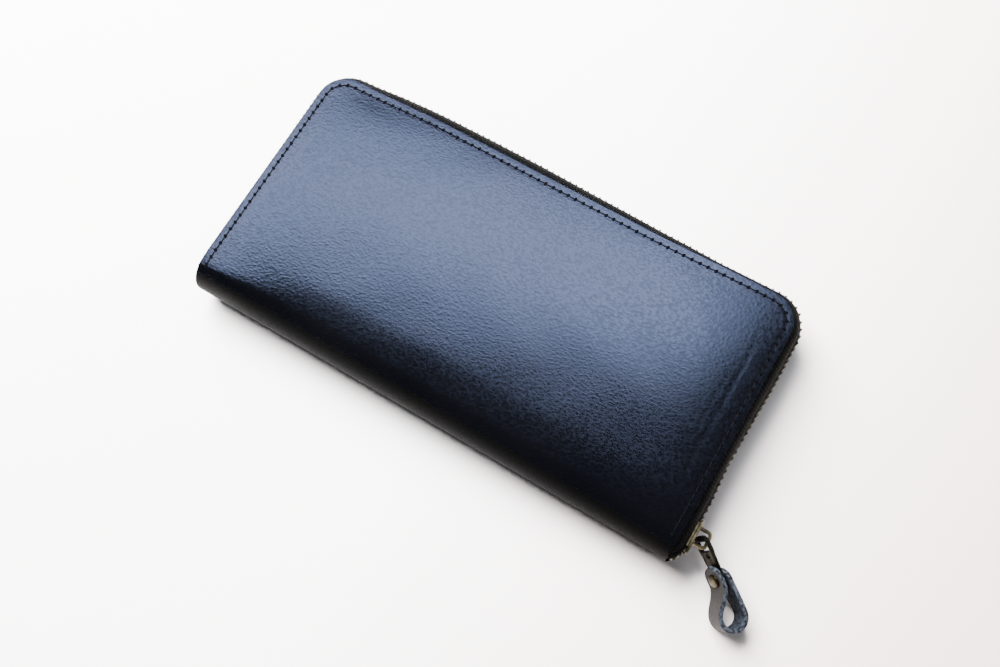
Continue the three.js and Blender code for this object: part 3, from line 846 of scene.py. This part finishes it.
def circle(x, z, r, n=14):
    return [(x + r * cos(2 * pi * i / n), z + r * sin(2 * pi * i / n)) for i in range(n)]


bar_outline = (
    [(-0.85, -2.6), (-1.15, -1.6), (-1.15, 1.6), (-0.85, 2.6), (-0.1, 3.3), (0.8, 3.65), (3.6, 3.65)]
    + [(4.6, 3.4), (5.8, 3.05), (9.0, 3.1), (15.5, 3.2)]
    + [(15.5 + 3.0 * sin(a), 3.2 * cos(a)) for a in (0.35, 0.7, 1.05, 1.4)]
    + [(15.5 + 3.0 * sin(a), -3.2 * cos(a)) for a in (1.4, 1.05, 0.7, 0.35)]
    + [(15.5, -3.2), (9.0, -3.1), (5.8, -3.05), (4.6, -3.4), (3.6, -3.65), (0.8, -3.65), (-0.1, -3.3)]
)
eye = [(0.75, -2.2), (0.75, 2.2), (1.1, 2.6), (3.6, 2.6), (4.15, 2.1), (4.15, -2.1), (3.6, -2.6), (1.1, -2.6)]
bar = plate(
    "pull_bar_plate", [bar_outline, eye, circle(5.9, 0.3, 0.85)], 1.5, 0.3, BRONZE,
    # thinner where the strap is folded round it
    lambda u, v, w: in_pull(u, w * (1 - 0.5 * ease((u - 7.8) / 1.8) - 0.24 * ease((u - 10) / 5)), v),
    resolution=3,
)
place(bar, "pull_bar", "brass", ["pull_bar"])

INSIDE, STRAP, STRAP_HALF = 0.8, 1.6, 3.7
NEAR_TIP, FAR_TIP, LEG_END = 9.5, 11.3, 15.5  # the far leg is a little shorter; both part at LEG_END
RIVET_X = 14
BOWL_X, BOWL_Y, BOWL = 26.3, -2.6, 5.5


def bezier(a, b, c, d, count):
    made = []
    for t in [i / count for i in range(1, count + 1)]:
        weights = ((1 - t) ** 3, 3 * (1 - t) ** 2 * t, 3 * (1 - t) * t * t, t**3)
        made.append(tuple(sum(k * p for k, p in zip(weights, axis)) for axis in zip(a, b, c, d)))
    return made


def strap_line():
    """The strap's outer face seen along its width: up one leg, round the bowl and back down the other."""
    out = INSIDE + STRAP
    step, far_step = (LEG_END - NEAR_TIP) / 8, (LEG_END - FAR_TIP) / 8
    # the near leg's tip stands off the bar
    leg = [(NEAR_TIP + step * i, -out - 0.45 * max(0.0, 1 - 0.3 * i) ** 2) for i in range(9)]
    line = leg + bezier(leg[-1], (19.1, -out), (21.4, BOWL_Y - BOWL), (BOWL_X, BOWL_Y - BOWL), 14)
    turns = [-pi / 2 + pi * k / 18 for k in range(1, 19)]
    line += [(BOWL_X + BOWL * cos(a), BOWL_Y + BOWL * sin(a)) for a in turns]
    line += bezier((BOWL_X, BOWL_Y + BOWL), (21.4, BOWL_Y + BOWL), (19.1, out), (LEG_END, out), 14)
    return line + [(LEG_END - far_step * i, out) for i in range(1, 9)]


def strap_rows():
    """Rows across the strap's width; the two ends are round in their own plane."""
    line = strap_line()
    rows = []
    across = [-1, -0.94, -0.8, -0.5, 0, 0.5, 0.8, 0.94, 1]
    for x, y in line:
        near = min(1.0, (x - (NEAR_TIP if y < 0 else FAR_TIP)) / STRAP_HALF)
        half = STRAP_HALF * (sqrt(1 - (1 - near) ** 2) if near < 1 else 1.0)
        rows.append([in_pull(x, y, max(half, 0.8) * t) for t in reversed(across)])
    return rows


strap = grid(strap_rows())
loop = piece("leather_loop", *strap, [PULL_GRAIN, SUEDE, CUT_EDGE])
thicken(loop, STRAP, 0.32, inside=1, rim=2)
place(loop, "pull_loop", "pull_leather", ["pull_loop"])

cap = [(0, -0.45), (1.1, -0.45), (1.1, 0.0), (2.15, 0.0), (2.35, 0.12), (2.3, 0.34), (1.95, 0.62)]
cap += [(1.3, 0.84), (0.6, 0.95), (0, 0.97)]
seat = INSIDE + STRAP + 0.02
at_rivet = Matrix.Translation((RIVET_X, 0, 0))
caps = [
    moved(lathe(cap), Matrix.Translation((RIVET_X, side * seat, 0)) @ Matrix.Rotation(-side * pi / 2, 4, "X"))
    for side in (1, -1)
]
shank = lathe([(0, -seat), (0.9, -seat), (0.9, seat), (0, seat)])
rivet = gather(caps + [moved(shank, at_rivet @ Matrix.Rotation(pi / 2, 4, "X"))])
made = piece("rivet", [in_pull(*v) for v in rivet[0]], rivet[1], RIVET_BRASS_PAINTED_SHADE)
place(made, "pull_loop", "brass", ["pull_rivet"])

# ---------------------------------------------------------------- inside: pockets, coin zip and gussets

for name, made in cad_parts.items():
    kind = (
        POCKET_GRAIN if "card" in name or "wall" in name
        else LINING if "lining" in name
        else TAPE if "tape" in name
        else BRASS if name == "coin_zip_stop" else None
    )
    if kind and not made.hide_render:
        made.data.materials.clear()
        made.data.materials.append(kind)
        soften(made, 0.14, 2, limit=60)

TOP = 27.0  # the coin pocket's opening edge
COIN = {
    "length": 8.6,
    "inner": (0.9, 1.5),
    "outer": (4.3, 4.95),
    "width": ((1.7, 1.5), (3.2, 2.9)),
    "lip": 0.3,
    "bail": {"foot": 4.7, "reach": 8.4, "low": -2.4, "high": 1.4, "thick": 0.42, "wide": 0.65, "turn": 1.5},
}
coin_frame = Matrix.Translation((66, TOP, MID)) @ Matrix.Rotation(pi / 2, 4, "Z")
coin_slider = join("coin_slider_body", slider_pieces("coin_slider", coin_frame, COIN))
place(coin_slider, "coin_slider", "brass", ["coin_slider"])

coin_pull_frame = Matrix.Translation((66.5, TOP + 6.4, MID))
coin_outline = (
    [(-0.75, -1.4), (-0.75, 1.4), (-0.2, 1.9), (1.0, 2.05), (3.4, 1.7), (6.0, 1.6), (8.4, 2.1), (9.9, 2.15)]
    + [(9.9 + 2.1 * sin(a), 2.15 * cos(a)) for a in (0.4, 0.8, 1.2)]
    + [(9.9 + 2.1 * sin(a), -2.15 * cos(a)) for a in (1.2, 0.8, 0.4)]
    + [(9.9, -2.15), (8.4, -2.1), (6.0, -1.6), (3.4, -1.7), (1.0, -2.05), (-0.2, -1.9)]
)
coin_eye = [(0.55, -0.95), (0.55, 0.95), (0.8, 1.15), (2.2, 1.15)]
coin_eye += [(2.7, 0.8), (2.7, -0.8), (2.2, -1.15), (0.8, -1.15)]
coin_pull = plate(
    "coin_pull_plate", [coin_outline, coin_eye, circle(9.6, 0, 0.9, 12)], 1.0, 0.22, BRASS,
    lambda u, v, w: coin_pull_frame @ Vector((u, w, v)),
)
place(coin_pull, "coin_pull", "brass", ["coin_pull"])


def coil(side):
    """A coil of nylon on the tape's edge."""
    path = []
    turns, steps = 110, 8
    for i in range(turns * steps + 1):
        a = 2 * pi * i / steps
        x = -68.8 + 140.0 * i / (turns * steps)
        path.append((x, TOP + 2.75 + 0.62 * sin(a), MID + side * (1.25 + 0.78 * cos(a))))
    return sweep(path, ellipse(0.22, 0.22, 5), up=(1, 0, 0))


for side, sign in (("front", 1), ("back", -1)):
    made = piece(f"coin_coil_{side}", *coil(sign), COIL)
    place(made, "middle", "coil", [f"coin_zip_{side}_coil"])


def gusset(end):
    """A strip with one fold towards the middle, from the coin pocket's front wall to the front card panel."""
    low, high, fold, edge = 14.5, 15.35, 69.0, 88.4
    section = [
        (end * (edge - (edge - fold) * (1 - abs(2 * t - 1) ** 1.15)), low + (high - low) * t)
        for t in spread([(0, 0.08), (1, 0.08)])
    ]
    return grid([[(x, y, z) for x, z in section] for y in spread([(-36, 3.0), (18, 3.0)])])


def folded(name, part, thickness):
    """A thin leather strip, thickened to both sides of its sheet."""
    made = piece(name, *part, POCKET_GRAIN)
    thick = made.modifiers.new("thickness", "SOLIDIFY")
    thick.thickness, thick.offset = thickness * MM, 0.0
    return bake(made)


for end, name in ((1, "right"), (-1, "left")):
    for side in ("front", "back"):
        made = folded(f"{name}_{side}_pleat", on_half(side, gusset(end)), 0.22)
        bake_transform(made)
        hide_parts(f"{name}_gusset_{side}")

for end, name in ((1, "right"), (-1, "left")):
    # the strip that closes the coin pocket's end, folded inwards between its two walls
    section = [
        (end * (84.6 + 2.6 * abs(t) ** 1.2), MID + 2.95 * t)
        for t in (-1, -0.75, -0.5, -0.25, -0.08, 0.08, 0.25, 0.5, 0.75, 1)
    ]
    part = grid([[(x, y, z) for x, z in section] for y in spread([(-36.5, 4.0), (24.5, 4.0)])])
    place(folded(f"coin_pocket_{name}_end", part, 0.35), "middle", "inner_leather")


POCKET_TOP, POCKET_STEP = 34, 11  # the first card pocket's mouth, and how far below it each next one starts
POCKET_STITCH, FINE_THREAD = 2.6, 0.17


def row_of_stitches(a, b):
    """Short threads from a to b on a flat panel."""
    a, b, dip = Vector(a), Vector(b), Vector((0, 0, -0.12))
    count = round((b - a).length / POCKET_STITCH)
    made = []
    for i in range(count):
        p, q = a.lerp(b, (i + 0.14) / count), a.lerp(b, (i + 0.86) / count)
        path = [p - dip * 0.8, p.lerp(q, 0.25) + dip, p.lerp(q, 0.75) + dip, q - dip * 0.8]
        made.append(sweep(path, ellipse(FINE_THREAD, FINE_THREAD, 5)))
    return made


pocket_seams = []
for row in range(3):
    top, z = POCKET_TOP - POCKET_STEP * row, 17.2 - 0.8 * row
    bottom = top - POCKET_STEP if row < 2 else -35
    for x in (-86.6, 0, 86.6):
        pocket_seams += row_of_stitches((x, bottom + 0.6, z), (x, top - 0.8, z))
pocket_seams += row_of_stitches((-86.6, -35, 15.6), (86.6, -35, 15.6))
y, z = 25.2, 14.54  # below the coin pocket's mouth, on its wall
coin_seams = row_of_stitches((-86.5, y, z), (86.5, y, z))
for side in ("front", "back"):
    made = piece(f"{side}_pocket_stitches", *on_half(side, gather(pocket_seams)), THREAD)
    place(made, f"{side}_half", "seam_thread")
for side in ("front", "back"):
    made = piece(f"coin_{side}_stitches", *on_half(side, gather(coin_seams)), THREAD)
    place(made, "middle", "seam_thread")

# ---------------------------------------------------------------- floor, light, camera

floor_mesh = bpy.data.meshes.new("floor")
floor_mesh.from_pydata([(-4, -4, 0), (4, -4, 0), (4, 4, 0), (-4, 4, 0)], [], [(0, 1, 2, 3)])
floor_material, tree, shader, at = surface("pale_floor", Roughness=0.62)
# painted shade: the floor's colour darkens and warms along +X, away from the lamps, standing for their
# fall-off; drift is that ramp's input, with a little uneven tone from the noise
along = node(tree, "ShaderNodeSeparateXYZ", {"Vector": at}).outputs["X"]
drift = weighted(tree, (along, 2.5), (noise(tree, at, 3.0), 0.15))
floor_painted_shade = ramp(tree, drift, (0.1, (0.83, 0.80, 0.785)), (0.55, (0.55, 0.46, 0.43)))
links(tree, (floor_painted_shade, shader.inputs["Base Color"]))
floor_mesh.materials.append(floor_material)
floor = bpy.data.objects.new("floor", floor_mesh)
bpy.context.scene.collection.objects.link(floor)
floor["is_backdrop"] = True


def area_light(name, at, look, size, watts, colour, turn=0.0):
    data = bpy.data.lights.new(name, "AREA")
    data.shape, data.size, data.size_y = "RECTANGLE", *size
    data.energy, data.color = watts, colour
    made = bpy.data.objects.new(name, data)
    made.location = at
    aim = Vector(look) - Vector(at)
    made.rotation_mode = "QUATERNION"
    made.rotation_quaternion = aim.to_track_quat("-Z", "Y") @ Euler((0, 0, turn)).to_quaternion()
    bpy.context.scene.collection.objects.link(made)
    return made


area_light(
    "window", (-0.363, 0.291, 0.8), (-0.363, 0.291, 0.0), (0.91, 0.29), 11.6, (0.82, 0.91, 1.0), radians(14.4)
)
area_light("side_window", (0.75, 0.65, 0.55), (0, 0, 0), (0.5, 0.5), 5, (0.9, 0.95, 1.0))
ceiling = area_light("ceiling", (-0.58, 0.33, 0.73), (0, 0, 0), (0.8, 0.8), 175, (1.0, 0.985, 0.98))
ceiling.visible_glossy = False  # its light is too even to show as a shape in the leather

world = bpy.data.worlds.new("studio")
world.use_nodes = True
world.node_tree.nodes["Background"].inputs["Color"].default_value = (0.82, 0.88, 1.0, 1)
world.node_tree.nodes["Background"].inputs["Strength"].default_value = 0.15
bpy.context.scene.world = world

# The camera: where it stands round its target, in radians and metres, and how far it is rolled.
azimuth, elevation, roll, distance = radians(37.98), radians(72.6), radians(-7.5), 0.39973
target = Vector((0.00606, -0.00645, 0.0))
back = Vector((sin(azimuth) * cos(elevation), -cos(azimuth) * cos(elevation), sin(elevation)))
right = (-back).cross(Vector((0, 0, 1))).normalized()
up = right.cross(-back)
right, up = right * cos(roll) + up * sin(roll), up * cos(roll) - right * sin(roll)
camera_data = bpy.data.cameras.new("camera")
camera_data.sensor_width, camera_data.lens = 36.0, 39.38
camera_data.clip_start = 0.01
camera = bpy.data.objects.new("camera", camera_data)
turned = Matrix((right, up, back)).transposed().to_4x4()
turned.translation = target + back * distance
camera.matrix_world = turned
bpy.context.scene.collection.objects.link(camera)
bpy.context.scene.camera = camera

low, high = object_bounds()
